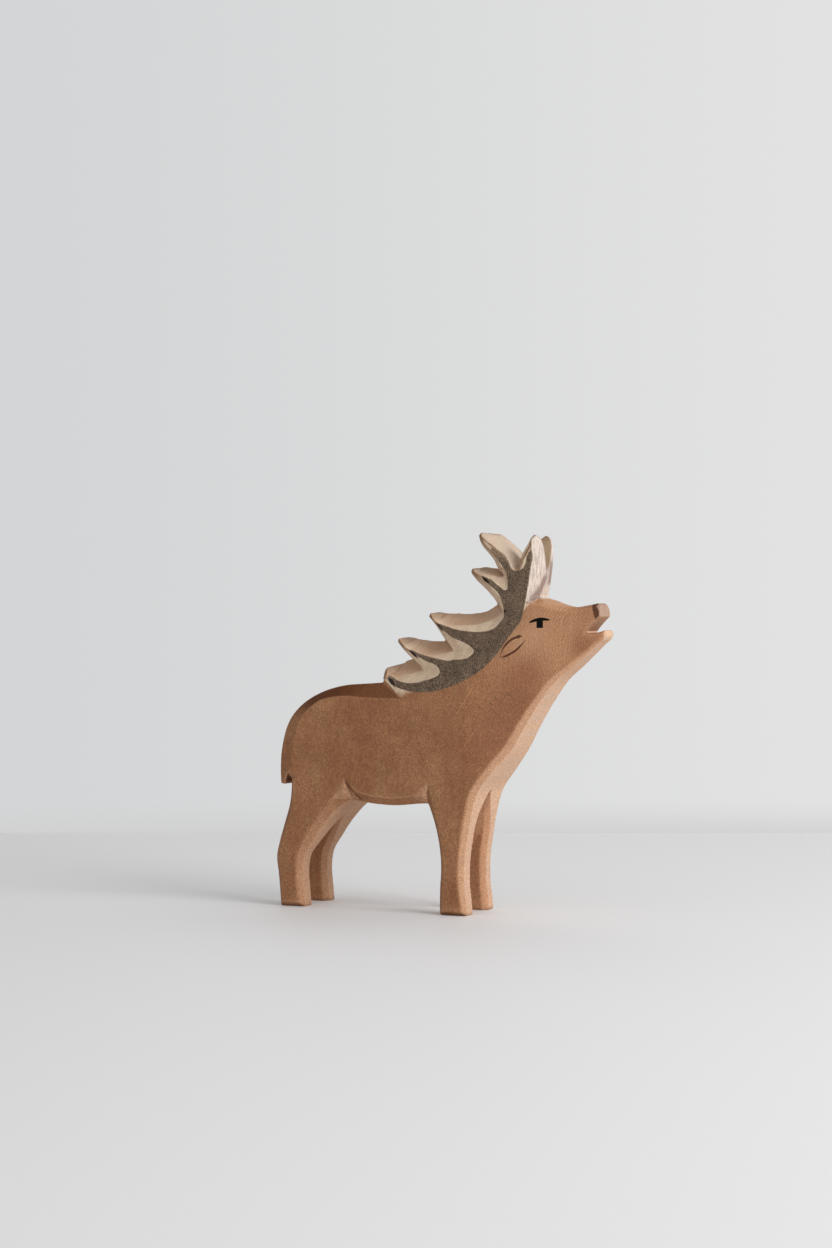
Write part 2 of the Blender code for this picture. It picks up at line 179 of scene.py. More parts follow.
# The grey panel's outline: up its base along the brown, then back down with a curve in the
# hollow below each antler point. The points are counted from the back.
GREY_BASE = (
    (-5.5, 87.2), (2.3, 87.8), (9.9, 90.2), (16.5, 93.2), (21.9, 96.7), (27.3, 102.3),
    (31.6, 108.7), (35.3, 113.6), (36.7, 116.3), (38.6, 125.0), (40.0, 134.2), (41.0, 139.4),
    (40.7, 142.3),
)
GREY_SIXTH = (
    (39.2, 140.0), (38.8, 137.5), (37.3, 134.9), (34.6, 134.1), (32.5, 135.1), (31.0, 138.0),
    (28.5, 141.3), (24.1, 143.4),
)
GREY_FIFTH = (
    (24.6, 142.1), (27.4, 138.5), (30.7, 133.8), (31.5, 130.8), (31.1, 128.5), (30.3, 127.0),
    (27.9, 128.2), (25.4, 130.5), (23.7, 131.9), (20.2, 132.4),
)
GREY_FOURTH = (
    (22.6, 129.9), (25.8, 127.4), (27.9, 125.0), (29.0, 122.1), (29.5, 119.2), (29.7, 117.2),
    (28.3, 114.5), (25.1, 111.7), (21.0, 110.6), (15.6, 110.6), (10.7, 111.2), (5.7, 112.5),
    (1.4, 113.7),
)
GREY_THIRD = (
    (3.1, 111.1), (6.6, 109.1), (10.9, 107.5), (15.2, 105.6), (17.6, 103.3), (17.7, 102.5),
    (15.4, 100.5), (12.4, 99.8), (8.8, 99.6), (3.8, 99.6), (-1.1, 100.6), (-6.1, 102.4),
    (-11.6, 104.9),
)
GREY_SECOND = (
    (-6.7, 99.6), (-4.0, 98.6), (-0.2, 97.7), (3.0, 96.2), (3.8, 95.0), (2.9, 93.4),
    (0.4, 92.3), (-3.4, 91.2), (-7.1, 90.4), (-10.9, 90.3), (-14.7, 91.0), (-18.4, 92.6),
    (-19.8, 93.2),
)
GREY_FIRST = ((-16.4, 89.3), (-13.3, 88.5), (-9.6, 87.6))
GREY_PANEL = (
    GREY_BASE, GREY_SIXTH, GREY_FIFTH, GREY_FOURTH, GREY_THIRD, GREY_SECOND, GREY_FIRST,
)

# Antler tips, browned by handling: x, z and how far the brown reaches.
TIPS = (
    (-22.6, 95.4, 5.0), (-17.2, 107.6, 7.0), (-3.2, 117.6, 7.0), (14.9, 134.8, 8.0),
    (18.4, 148.8, 6.0), (41.0, 148.6, 4.0),
)
TIP_UNEVENNESS = 0.8
TIP_CORE = 0.15

# Straight marks, each as start, end and half width: painted shade in the knife cuts at the
# antler tips, then light scratches and dark growth lines on the neck.
KNIFE_SHADE_LINES = (
    ((-20.2, 93.0), (-15.8, 89.0), 0.65),
    ((-12.2, 104.6), (-7.0, 99.7), 0.60),
    ((0.6, 114.4), (3.4, 110.6), 0.55),
    ((20.0, 132.2), (23.6, 129.6), 0.60),
    ((29.9, 119.9), (29.9, 117.4), 0.40),
)
SCRATCHES = (
    ((21.9, 95.3), (6.0, 70.2), 0.20),
    ((21.8, 76.9), (9.8, 59.0), 0.20),
    ((2.0, 83.8), (-2.6, 70.0), 0.12),
)
GROWTH_LINES = (
    ((17.2, 84.2), (25.4, 77.7), 0.14),
    ((20.4, 85.5), (28.0, 81.2), 0.14),
    ((24.9, 87.0), (32.2, 80.4), 0.14),
    ((29.3, 88.7), (36.4, 83.6), 0.14),
    ((14.0, 81.5), (22.0, 75.5), 0.13),
    ((16.5, 79.4), (20.4, 73.0), 0.13),
    ((22.5, 83.2), (30.0, 76.5), 0.13),
)
LINE_SOFTNESS = 0.08

# Nose: its rear edge, and the line that closes it ahead of the muzzle.
NOSE_EDGE = ((63.6, 124.0), (64.1, 121.1), (65.7, 114.4), (66.6, 111.5))
AHEAD_OF_NOSE = ((90, 111.5), (90, 130))

# Where the legs meet the belly the bevels run up into a leaf, painted over the solid's smaller
# crease: its light part is painted light on the facet, its dark rim painted shade in the crease.
LEAF = (
    ((-44.0, 44.0), (-39.9, 48.3), (-37.7, 52.7), (-37.0, 49.4), (-34.1, 46.4), (-31.2, 43.9)),
    ((-1.1, 52.1), (-2.9, 50.4), (-5.3, 47.8), (-7.1, 45.2), (-1.7, 43.3)),
)
LEAF_RIM = (
    (-37.7, 52.9), (-37.0, 49.4), (-34.1, 46.4), (-31.2, 43.9), (-30.0, 44.5), (-32.9, 46.4),
    (-35.2, 48.9),
)

# Stretches along x or z over which a tone comes in, each from where there is least of it to
# where there is most. The head rises along HEAD_AXIS, and the neck leans by NECK_SLANT.
HEAD_AXIS = (0.62, 0.78)
HEAD_RISE = (82.0, 112.0)
NECK_SLANT = -0.62
NECK_AHEAD = (-36.0, -18.0)
NECK_RISE = (54.0, 68.0)
MUZZLE_AHEAD = (53.0, 63.0)
MUZZLE_RISE = (97.0, 103.0)
BACK_BEHIND = (20.0, 8.0)
BACK_CORNER_AHEAD = (-30.0, -18.0)
RUMP_RISE = (50.0, 75.0)
FORE_HALF = (-25.0, -5.0)
FORE_LEGS = (-10.0, 5.0)
ABOVE_LEGS = (36.0, 50.0)
BELLY_RIM_TOP = (51.0, 49.0)
BELLY_RIM_BOTTOM = (42.0, 43.5)
SOLE_DROP = (1.8, 0.3)
BELOW_BROW = (118.0, 110.0)
BELOW_TOPS = (145.0, 138.0)
ABOVE_EARS = (128.0, 134.0)
ABOVE_SHOULDER = (100.0, 110.0)
FIFTH_TIP_RISE = (137.0, 142.0)
FIFTH_TIP_BEHIND = (36.0, 30.0)
FADE_BEHIND = (-2.0, -8.0)
FADE_AHEAD = (-15.5, -13.0)
FADE_BELOW = (91.0, 89.0)
MOUTH_AHEAD = (61.0, 62.2)
MOUTH_RISE = (109.8, 110.3)
JAW_TIP_AHEAD = (66.8, 67.6)
JAW_TIP_BELOW = (113.0, 112.2)

# Soft spots on the head, centre and reach: painted shade at the jaw corner and throat, painted
# light on the cheek.
JAW_SHADE = ((60.5, 105.0), 8.0)
THROAT_SHADE = ((40.0, 97.0), 11.0)
CHEEK_GLOW = ((40.0, 108.0), 13.0)

# Foremost antler point, whose long grain shows on its front. A band and the side of the
# groove climb across the board, each by a slope and a start. FAR_HALF and GROOVE_FAR_WALL are
# stretches across the board.
FRONT_AHEAD = (37.0, 39.0)
GRAIN_BAND = (0.56, -75.4)
GRAIN_BAND_WIDTH = (5.4, 2.9)
GRAIN_BAND_UNEVENNESS = 3.0
GRAIN_BAND_TOP = (135.5, 131.5)
FAR_HALF = (0.0, 2.0)
FAR_HALF_TOP = (142.0, 137.0)
FAR_HALF_BOTTOM = (127.5, 130.5)
GROOVE_SIDE = (0.35, -46.2)
GROOVE_SIDE_WIDTH = (1.5, 0.3)
GROOVE_BOTTOM = (133.0, 136.0)
GROOVE_TOP = (149.0, 145.0)
GROOVE_FAR_WALL = (0.2, 0.8)
GROOVE_WALL_RISE = (134.0, 137.5)

# Growth rings, round a centre ahead of the chin. Their density is in radians per millimetre.
RING_CENTRE = (76.0, 105.0)
RING_DENSITY = 5.6
RING_WARP = 8.0
RING_REACH = (55.0, 25.0)
BROW_RISE = (111.0, 116.0)
BROW_AHEAD = (46.0, 50.0)

# Eye: a lid between two arcs, each with a bow, tilt and height, and a pupil under it.
EYE_CENTRE_X = 44.1
EYE_HALF = 3.9
LID_UNDER = (-0.35, 0.5, 114.9)
LID_OVER = (-1.05, 0.4, 116.25)
PUPIL_CENTRE = (44.2, 114.0)
PUPIL_HALF = (1.25, 1.75)

# Ear: each arc has a centre, radius, half width, the x it runs between, and a taper. The
# midline between the arcs has a slope and a height.
EAR_UPPER = ((38.0, 99.95), 9.2, 0.46, 28.6, 37.4, 3.0)
EAR_UPPER_END = ((38.0, 99.95), 9.2, 0.6, 34.3, 37.4, 1.2)
EAR_LOWER = ((25.8, 115.4), 14.9, 0.42, 28.6, 38.7, 3.0)
EAR_MIDLINE = (0.84, 76.6)


def srgb(red, green, blue):
    """A colour given by its 0-255 screen values, as the linear colour the shader takes."""
    linear = []
    for value in (red, green, blue):
        share = value / 255
        linear.append(share / 12.92 if share <= 0.04045 else ((share + 0.055) / 1.055) ** 2.4)
    return (*linear, 1.0)


def smooth_step(value):
    value = np.clip(value, 0.0, 1.0)
    return value * value * (3 - 2 * value)


def left_of(x, z, start, end):
    """Distance of profile points to the left of the line from start to end."""
    dx, dz = end[0] - start[0], end[1] - start[1]
    return (dx * (z - start[1]) - dz * (x - start[0])) / math.hypot(dx, dz)


def softer_min(a, b):
    """The smaller of two values, with the change from one to the other rounded."""
    share = np.clip(0.5 + 0.5 * (b - a) / BLEND, 0.0, 1.0)
    return b + (a - b) * share - BLEND * share * (1 - share)


def half_thickness(x, z):
    """Half of the board at places on its side, in millimetres."""
    x = x + PROFILE_SHIFT
    above = np.minimum(left_of(x, z, *ANTLER_FOOT),
                       ANTLER_FOOT_BACK_STEEPNESS * left_of(x, z, *ANTLER_FOOT_BACK))
    antler = BODY_HALF - (BODY_HALF - ANTLER_HALF) * smooth_step(above / ANTLER_THINNING)
    ahead = -left_of(x, z, *NECK_LINE)
    above_leg = smooth_step((z - LEG_TOP) / LEG_TO_NECK)
    neck = BODY_HALF + BLEND * (1 - above_leg) - NECK_TAPER * ahead * above_leg
    snout = np.minimum(ANTLER_HALF - SNOUT_TAPER * (x - SNOUT_FROM), BODY_HALF + BLEND)
    snout = np.where(z < SNOUT_BOTTOM, BODY_HALF + BLEND, snout)
    return softer_min(softer_min(antler, neck), snout)


def dense_copy(node):
    """The solid as one fine, even skin."""
    piece = bpy.data.objects.new("carved_stag", node.data.copy())
    bpy.context.scene.collection.objects.link(piece)
    mesh = bmesh.new()
    mesh.from_mesh(piece.data)
    bmesh.ops.remove_doubles(mesh, verts=mesh.verts, dist=1e-6)
    mesh.to_mesh(piece.data)
    mesh.free()
    piece.data.materials.clear()
    remesh = piece.modifiers.new("skin", "REMESH")
    remesh.mode = "VOXEL"
    remesh.voxel_size = VOXEL
    apply_modifiers(piece)
    return piece


def apply_modifiers(piece):
    graph = bpy.context.evaluated_depsgraph_get()
    baked = bpy.data.meshes.new_from_object(piece.evaluated_get(graph))
    old = piece.data
    piece.modifiers.clear()
    piece.data = baked
    bpy.data.meshes.remove(old)


def coordinates(piece):
    values = np.empty(len(piece.data.vertices) * 3)
    piece.data.vertices.foreach_get("co", values)
    return values.reshape(-1, 3)


def set_coordinates(piece, values):
    piece.data.vertices.foreach_set("co", np.ascontiguousarray(values).ravel())
    piece.data.update()


def edge_pairs(piece):
    pairs = np.empty(len(piece.data.edges) * 2, dtype=np.int64)
    piece.data.edges.foreach_get("vertices", pairs)
    return pairs.reshape(-1, 2)


def neighbour_mean(values, pairs, degree):
    """The mean of each vertex's neighbours."""
    count = len(values)
    result = np.empty_like(values)
    for axis in range(values.shape[1]):
        total = np.bincount(pairs[:, 0], values[pairs[:, 1], axis], count)
        total += np.bincount(pairs[:, 1], values[pairs[:, 0], axis], count)
        result[:, axis] = total / degree
    return result


def skin_faces(node):
    """Corners of the solid's triangles, and which of them lie on the flat sides."""
    data = node.data
    data.calc_loop_triangles()
    corners = np.array([t.vertices for t in data.loop_triangles])
    places = np.array([v.co for v in data.vertices]) * 1000
    gap = np.abs(np.abs(places[:, 1]) - half_thickness(places[:, 0], places[:, 2]))
    return places, corners, np.all(gap[corners] < ON_SIDE, axis=1)


def flat_edge_distance(points, places, corners, flat):
    """Signed distance in the profile to the edge of the flat side, above 0 on the flat."""
    found = np.empty(len(points))
    tree = BVHTree.FromPolygons([Vector(p) for p in places], corners.tolist())
    inside = np.array([flat[tree.find_nearest(Vector(p))[2]] for p in points])
    for side in (1, -1):
        rim = {}
        for corner in corners[flat]:
            if side * places[corner[0], 1] < 0:
                continue
            for k in range(3):
                ends = [tuple(np.round(places[corner[(k + s) % 3]], 4)) for s in (0, 1)]
                key = (min(ends), max(ends))
                rim[key] = rim.get(key, 0) + 1
        lines = np.array([key for key, uses in rim.items() if uses == 1])[:, :, (0, 2)]
        mine = side * points[:, 1] >= 0
        found[mine] = distance_to_lines(points[mine][:, (0, 2)], lines)
    return np.where(inside, found, -found)


def distance_to_lines(points, lines):
    nearest = np.full(len(points), 1e9)
    for start, end in lines:
        along = end - start
        length = along @ along
        if length < 1e-12:
            continue
        share = np.clip(((points - start) @ along) / length, 0, 1)
        away = points - start - share[:, None] * along
        nearest = np.minimum(nearest, np.einsum("ij,ij->i", away, away))
    return np.sqrt(nearest)


def curved(points, steps=4):
    """A smooth line through points."""
    line = []
    last = len(points) - 1
    for i in range(last):
        before = points[max(i - 1, 0)]
        start, end = points[i], points[i + 1]
        after = points[min(i + 2, last)]
        for k in range(steps):
            t = k / steps
            line.append(tuple(
                0.5 * (2 * s + (e - b) * t + (2 * b - 5 * s + 4 * e - a) * t * t
                       + (3 * s - b - 3 * e + a) * t ** 3)
                for b, s, e, a in zip(before, start, end, after)))
    line.append(points[-1])
    return line


def inside_distance(points, loop):
    """Signed distance in the profile to a closed line, above 0 inside."""
    loop = np.array(loop)
    lines = np.stack([loop, np.roll(loop, -1, axis=0)], axis=1)
    away = distance_to_lines(points, lines)
    x, z = points[:, 0], points[:, 1]
    inside = np.zeros(len(points), dtype=bool)
    for (x0, z0), (x1, z1) in lines:
        if z0 == z1:
            continue
        crosses = (z0 > z) != (z1 > z)
        inside ^= crosses & (x < x0 + (x1 - x0) * (z - z0) / (z1 - z0))
    return np.where(inside, away, -away)


def store(piece, name, values):
    layer = piece.data.attributes.new(name, "FLOAT", "POINT")
    layer.data.foreach_set("value", np.ascontiguousarray(values, dtype=np.float32))


def vertex_normals(piece):
    values = np.empty(len(piece.data.vertices) * 3)
    piece.data.vertices.foreach_get("normal", values)
    return values.reshape(-1, 3)


def sanded(node, solid, corners, flat):
    """The solid as a fine mesh with rounded edges and even flat sides."""
    piece = dense_copy(node)
    pairs = edge_pairs(piece)
    places = coordinates(piece)
    degree = np.bincount(pairs.ravel(), minlength=len(places))
    for _ in range(ROUNDING):
        places += 0.5 * (neighbour_mean(places, pairs, degree) - places)
    edge_away = flat_edge_distance(places * 1000, solid, corners, flat)
    open_skin = smooth_step(edge_away / SKIN_FADE - SKIN_DELAY)
    for _ in range(SKIN_ROUNDING):
        level = neighbour_mean(places[:, 1:2], pairs, degree)[:, 0]
        places[:, 1] += open_skin * (level - places[:, 1])
    set_coordinates(piece, places)
    count = sum(len(p.vertices) - 2 for p in piece.data.polygons)
    thin = piece.modifiers.new("thin", "DECIMATE")
    thin.ratio = min(1.0, MAX_TRIANGLES / count)
    apply_modifiers(piece)
    piece.data.shade_smooth()
    return piece


def bend_of(piece, points):
    """How far each vertex stands out of its neighbours: above 0 on edges, below in creases."""
    pairs = edge_pairs(piece)
    degree = np.bincount(pairs.ravel(), minlength=len(points))
    bend = points - neighbour_mean(points, pairs, degree)
    bend = np.einsum("ij,ij->i", bend, vertex_normals(piece))[:, None]
    for _ in range(BEND_ROUNDING):
        bend = 0.5 * bend + 0.5 * neighbour_mean(bend, pairs, degree)
    return bend[:, 0]


def carve(node):
    """The visible wood, with its paint outlines as attributes for the material."""
    solid, corners, flat = skin_faces(node)
    piece = sanded(node, solid, corners, flat)
    points = coordinates(piece) * 1000
    profile = points[:, (0, 2)]
    panel = [place for line in GREY_PANEL for place in curved(line)]
    antlers = curved(STAIN_EDGE) + list(AROUND_ANTLERS)
    nose = curved(NOSE_EDGE) + list(AHEAD_OF_NOSE)
    leaves = [inside_distance(profile, curved(outline)) for outline in LEAF]
    store(piece, "flat", flat_edge_distance(points, solid, corners, flat))
    store(piece, "grey", inside_distance(profile, panel))
    store(piece, "pale", inside_distance(profile, antlers))
    store(piece, "nose", inside_distance(profile, nose))
    store(piece, "leaf", np.maximum(*leaves))
    store(piece, "leaf_rim", inside_distance(profile, curved(LEAF_RIM)))
    store(piece, "bend", bend_of(piece, points))
    return piece


class Graph:
    """Short ways to wire a material's nodes."""

    def __init__(self, name):
        self.material = bpy.data.materials.new(name)
        self.material.use_nodes = True
        self.tree = self.material.node_tree
        self.shader = self.tree.nodes["Principled BSDF"]

    def put(self, socket, value):
        if isinstance(value, bpy.types.NodeSocket):
            self.tree.links.new(value, socket)
        else:
            socket.default_value = value

    def math(self, operation, a, b=None, c=None, clamp=False):
        node = self.tree.nodes.new("ShaderNodeMath")
        node.operation = operation
        node.use_clamp = clamp
        for socket, value in zip(node.inputs, (a, b, c)):
            if value is not None:
                self.put(socket, value)
        return node.outputs[0]

    def ramp(self, value, low, high, to_low=0.0, to_high=1.0):
        node = self.tree.nodes.new("ShaderNodeMapRange")
        node.interpolation_type = "SMOOTHSTEP"
        for name, item in (("Value", value), ("From Min", low), ("From Max", high),
                           ("To Min", to_low), ("To Max", to_high)):
            self.put(node.inputs[name], item)
        return node.outputs["Result"]

    def mix(self, share, a, b, blend="MIX"):
        node = self.tree.nodes.new("ShaderNodeMix")
        node.data_type = "RGBA"
        node.blend_type = blend
        self.put(node.inputs["Factor"], share)
        self.put(node.inputs[6], a)
        self.put(node.inputs[7], b)
        return node.outputs[2]

    def attribute(self, name):
        node = self.tree.nodes.new("ShaderNodeAttribute")
        node.attribute_name = name
        return node.outputs["Fac"]

    def vector(self, operation, a, b=None, scale=None):
        node = self.tree.nodes.new("ShaderNodeVectorMath")
        node.operation = operation
        self.put(node.inputs[0], a)
        if b is not None:
            self.put(node.inputs[1], b)
        if scale is not None:
            self.put(node.inputs["Scale"], scale)
        return node.outputs["Value" if operation in ("LENGTH", "DOT_PRODUCT") else "Vector"]

    def split(self, vector):
        node = self.tree.nodes.new("ShaderNodeSeparateXYZ")
        self.put(node.inputs[0], vector)
        return node.outputs[0], node.outputs[1], node.outputs[2]

    def join(self, x, y, z):
        node = self.tree.nodes.new("ShaderNodeCombineXYZ")
        for socket, value in zip(node.inputs, (x, y, z)):
            self.put(socket, value)
        return node.outputs[0]

    def noise(self, place, scale, detail=2.0, roughness=0.5, stretch=(1, 1, 1)):
        node = self.tree.nodes.new("ShaderNodeTexNoise")
        self.put(node.inputs["Vector"], self.vector("MULTIPLY", place, stretch))
        node.inputs["Scale"].default_value = scale
        node.inputs["Detail"].default_value = detail
        node.inputs["Roughness"].default_value = roughness
        return node.outputs["Fac"]

    def place_mm(self):
        node = self.tree.nodes.new("ShaderNodeTexCoord")
        return self.vector("SCALE", node.outputs["Object"], scale=1000.0)

    def normal(self):
        node = self.tree.nodes.new("ShaderNodeNewGeometry")
        return self.split(node.outputs["Normal"])

    def product(self, *factors):
        result = factors[0]
        for factor in factors[1:]:
            result = self.math("MULTIPLY", result, factor)
        return result

    def wash(self, colour, tint, share, amount=1.0):
        """The colour drawn toward a tint by a mask, at most by the amount."""
        return self.mix(self.math("MULTIPLY", share, amount), colour, srgb(*tint))

    def tone(self, colour, share):
        """The colour made darker or lighter by a share around 1."""
        return self.mix(1.0, colour, self.join(share, share, share), "MULTIPLY")

    def away_from(self, x, z, centre):
        """Distance in the profile from a place."""
        return self.vector("LENGTH", self.join(self.math("SUBTRACT", x, centre[0]), 0.0,
                                               self.math("SUBTRACT", z, centre[1])))

    def spot(self, x, z, centre, reach):
        """1 at a place in the profile, fading to 0 at its reach."""
        return self.ramp(self.away_from(x, z, centre), reach, 0.0)

    def on_line(self, away):
        """1 inside a drawn mark whose edge is where away is 0."""
        return self.ramp(away, LINE_SOFTNESS, -LINE_SOFTNESS)


def arc_stroke(g, x, z, centre, radius, half_width, low, high, taper):
    """A drawn arc: 1 on the stroke. low and high bound it along x, taper thins its ends."""
    off = g.math("ABSOLUTE", g.math("SUBTRACT", g.away_from(x, z, centre), radius))
    ends = g.math("MINIMUM", g.math("SUBTRACT", x, low), g.math("SUBTRACT", high, x))
    width = g.ramp(ends, 0.0, taper, 0.1, half_width)
    stroke = g.on_line(g.math("SUBTRACT", off, width))
    return g.math("MULTIPLY", stroke, g.math("GREATER_THAN", ends, 0.0))


def line_stroke(g, x, z, start, end, half_width):
    """A straight mark: 1 on the stroke, thinner toward its ends."""
    dx, dz = end[0] - start[0], end[1] - start[1]
    length = math.hypot(dx, dz)
    px, pz = g.math("SUBTRACT", x, start[0]), g.math("SUBTRACT", z, start[1])
    along = g.math("ADD", g.math("MULTIPLY", px, dx / length),
                   g.math("MULTIPLY", pz, dz / length))
    across = g.math("ABSOLUTE", g.math("SUBTRACT", g.math("MULTIPLY", px, dz / length),
                                       g.math("MULTIPLY", pz, dx / length)))
    ends = g.math("MINIMUM", along, g.math("SUBTRACT", length, along))
    width = g.ramp(ends, -0.3, length * 0.4, -0.1, half_width)
    return g.on_line(g.math("SUBTRACT", across, width))


def box_stroke(g, x, z, centre, half):
    wide = g.math("SUBTRACT", g.math("ABSOLUTE", g.math("SUBTRACT", x, centre[0])), half[0])
    tall = g.math("SUBTRACT", g.math("ABSOLUTE", g.math("SUBTRACT", z, centre[1])), half[1])
    return g.on_line(g.math("MAXIMUM", wide, tall))


def strokes(g, x, z, lines):
    """Several straight marks as one mask."""
    marks = [line_stroke(g, x, z, *line) for line in lines]
    found = marks[0]
    for mark in marks[1:]:
        found = g.math("MAXIMUM", found, mark)
    return found


def head_share(g, x, z):
    """Near 1 on the head, falling to 0 down the neck."""
    up = g.math("MULTIPLY_ADD", x, HEAD_AXIS[0], g.math("MULTIPLY", z, HEAD_AXIS[1]))
    return g.ramp(up, *HEAD_RISE)


def body_stain(g, x, z, cloud, patch):
    """Brown stain: lighter on the head, darker on the neck, blotchy, with painted shade and light
    in spots.
    """
    on_head = head_share(g, x, z)
    slanted = g.math("MULTIPLY_ADD", z, NECK_SLANT, x)
    at_neck = g.product(g.ramp(on_head, 1.0, 0.0), g.ramp(slanted, *NECK_AHEAD),
                        g.ramp(z, *NECK_RISE))
    muzzle = g.product(g.ramp(x, *MUZZLE_AHEAD), g.ramp(z, *MUZZLE_RISE))
    # Painted shade at the jaw corner and throat.
    shades = g.math("MAXIMUM", g.spot(x, z, *JAW_SHADE), g.spot(x, z, *THROAT_SHADE))
    brown = g.mix(g.ramp(cloud, 0.35, 0.65), srgb(*STAIN_LIGHT), srgb(*STAIN_DARK))
    brown = g.wash(brown, STAIN_YELLOW, g.ramp(patch, 0.5, 0.28), 0.3)
    brown = g.wash(brown, HEAD_STAIN, on_head, 0.85)
    brown = g.wash(brown, NECK_STAIN, at_neck, 0.8)
    brown = g.wash(brown, STAIN_BLOTCH, g.ramp(patch, 0.45, 0.75), 0.22)
    brown = g.wash(brown, MUZZLE_STAIN, muzzle, 0.7)
    brown = g.wash(brown, HEAD_SPOT_SHADE, shades, 0.55)
    # Painted light on the cheek.
    return g.wash(brown, CHEEK_LIGHT, g.spot(x, z, *CHEEK_GLOW), 0.45)


def brown_wood(g, x, y, z, nx, ny, nz, cloud, patch):
    """Brown wood: facets took the stain their own way, with painted light and shade; worn edges,
    darker soles.
    """
    side = g.math("ABSOLUTE", ny)
    brown = body_stain(g, x, z, cloud, patch)

    # Facets facing up on the back and back on the rump are darker: partly a darker stain, partly
    # painted shade away from the window.
    facet = g.ramp(g.attribute("flat"), 0.15, -0.15)
    above = g.product(g.ramp(nz, 0.2, 0.6), g.ramp(x, *BACK_BEHIND))
    behind = g.product(g.ramp(nx, -0.25, -0.7), g.ramp(z, *RUMP_RISE, 0.12, 0.4))
    back_stain_and_shade = g.product(facet, g.math("MAXIMUM", above, behind))
    brown = g.wash(brown, BACK_FACET_STAIN_AND_SHADE, back_stain_and_shade)
    # Deeper painted shade in the corner of the back toward the withers.
    brown = g.wash(brown, BACK_CORNER_SHADE, g.product(back_stain_and_shade, g.ramp(x, *BACK_CORNER_AHEAD)), 0.5)

    # Facets facing ahead, toward the window, are paler: partly a thinner stain, partly painted
    # light.
    soft_facet = g.ramp(g.attribute("flat"), 0.25, -0.9)
    bevel = g.product(soft_facet, g.ramp(nx, 0.05, 0.6), g.ramp(x, *FORE_HALF, 0.45, 0.75))
    brown = g.wash(brown, BEVEL_STAIN_AND_LIGHT, bevel)
    ahead = g.product(soft_facet, g.ramp(nx, 0.3, 0.9), g.ramp(side, 0.55, 0.15),
                      g.ramp(z, *ABOVE_LEGS, 0.6, 0.85), g.ramp(x, *FORE_HALF, 0.5, 1.0))
    brown = g.wash(brown, FRONT_STAIN_AND_LIGHT, ahead)
    # Painted shade inside the slot between the legs, toning down the front facets' painted light
    # there.
    in_slot = g.product(g.ramp(g.math("MULTIPLY", y, ny), -0.5, -2.0), g.ramp(x, *FORE_LEGS))
    brown = g.wash(brown, SLOT_SHADE, in_slot, 0.5)

    rim = g.product(g.ramp(g.math("ABSOLUTE", g.attribute("flat")), 0.4, 0.1),
                    g.ramp(z, *BELLY_RIM_TOP), g.ramp(z, *BELLY_RIM_BOTTOM))
    brown = g.wash(brown, WORN_STAIN, rim, 0.35)
    # Painted light on the leaf's facet, and painted shade along its rim.
    leaf = g.product(g.ramp(g.attribute("leaf"), -0.25, 0.25), g.ramp(side, 0.3, 0.5))
    brown = g.wash(brown, LEAF_LIGHT, leaf, 0.55)
    brown = g.wash(brown, LEAF_RIM_SHADE, g.ramp(g.attribute("leaf_rim"), -0.25, 0.25), 0.65)

    brown = g.wash(brown, WORN_STAIN, g.ramp(g.attribute("bend"), 0.006, 0.03), 0.3)
    # Darker at the soles, over their lowest couple of millimetres.
    brown = g.wash(brown, SOLE_DARK, g.ramp(z, *SOLE_DROP), 0.4)
    # Painted shade in concave creases below the brow.
    crease_shade = g.product(g.ramp(g.attribute("bend"), -0.004, -0.03), g.ramp(z, *BELOW_BROW))
    return g.wash(brown, CREASE_SHADE, crease_shade, 0.6)


def browned_tips(g, x, z, patch):
    tips = 0.0
    for tip_x, tip_z, reach in TIPS:
        uneven = g.math("SUBTRACT", patch, 0.5)
        away = g.away_from(x, z, (tip_x, tip_z))
        away = g.math("MULTIPLY_ADD", uneven, reach * TIP_UNEVENNESS, away)
        tips = g.math("MAXIMUM", tips, g.ramp(away, reach, reach * TIP_CORE))
    return tips


def front_grain(g, y, z, place):
    """Where grey long grain shows on the front of the foremost point."""
    streak = g.noise(place, *STREAK_NOISE)
    thin = g.noise(place, *THIN_GRAIN_NOISE)
    off = g.math("ABSOLUTE", g.math("SUBTRACT", y, g.math("MULTIPLY_ADD", z, *GRAIN_BAND)))
    off = g.math("ADD", off, g.math("MULTIPLY", streak, GRAIN_BAND_UNEVENNESS))
    band = g.product(g.ramp(off, *GRAIN_BAND_WIDTH), g.ramp(z, *GRAIN_BAND_TOP))
    far_half = g.product(g.ramp(y, *FAR_HALF), g.ramp(z, *FAR_HALF_TOP),
                         g.ramp(z, *FAR_HALF_BOTTOM), g.ramp(streak, 0.35, 0.55, 0.35, 1.0))
    slope, start = GROOVE_SIDE
    beside = g.math("MULTIPLY_ADD", z, slope, g.math("ADD", y, start))
    lip = g.product(g.ramp(g.math("ABSOLUTE", beside), *GROOVE_SIDE_WIDTH),
                    g.ramp(z, *GROOVE_BOTTOM), g.ramp(z, *GROOVE_TOP),
                    g.ramp(streak, 0.35, 0.55, 0.4, 1.0))
    grain = g.math("MAXIMUM", g.math("MAXIMUM", band, far_half), lip)
    return g.math("MAXIMUM", grain, g.ramp(thin, 0.44, 0.62, 0.0, 0.6))


